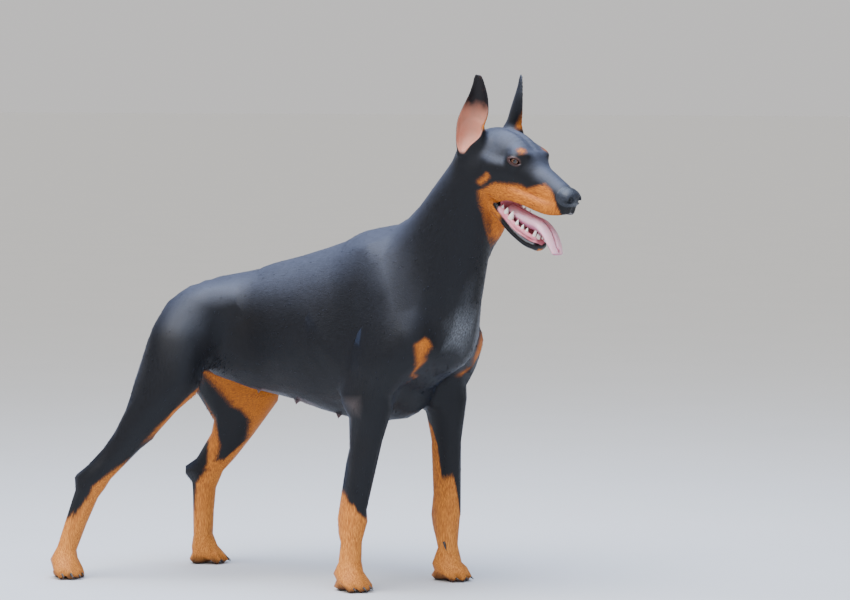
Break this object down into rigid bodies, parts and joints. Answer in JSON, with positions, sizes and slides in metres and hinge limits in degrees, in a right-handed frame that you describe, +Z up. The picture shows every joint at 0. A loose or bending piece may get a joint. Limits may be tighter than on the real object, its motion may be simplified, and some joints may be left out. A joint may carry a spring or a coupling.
{
  "type": "doberman pinscher",
  "caption": "Standing short-coated pinscher dog, black with rust markings, ears erect, mouth open, tail docked, as a still life-size model.",
  "frame": {"origin": "middle of the standing dog's footprint box, on the floor under the paws", "axes": "+X towards the head, +Z up, +Y towards the dog's left side"},
  "size_m": [1.0066, 0.3454, 0.9143],
  "materials": {
    "black_coat": "short glossy black hair lying flat",
    "rust_coat": "short rust-tan hair lying flat",
    "nose_leather": "moist black pebbled nose skin",
    "tongue_flesh": "wet pink flesh",
    "iris": "wet dark brown eye"
  },
  "bodies": {
    "root": {"head": "black_coat", "nose": "nose_leather", "lower_jaw": "black_coat", "tongue": "tongue_flesh", "right_eye": "iris", "left_eye": "iris", "right_ear": "black_coat", "left_ear": "black_coat", "neck": "black_coat", "thorax": "black_coat", "abdomen": "black_coat", "tail": "black_coat", "right_upper_arm": "black_coat", "right_forearm": "black_coat", "right_forepaw": "rust_coat", "right_thigh": "black_coat", "right_shank": "black_coat", "right_rear_pastern": "rust_coat", "right_hindpaw": "rust_coat", "left_upper_arm": "black_coat", "left_forearm": "black_coat", "left_forepaw": "rust_coat", "left_thigh": "black_coat", "left_shank": "black_coat", "left_rear_pastern": "rust_coat", "left_hindpaw": "rust_coat"}
  },
  "joints": []
}
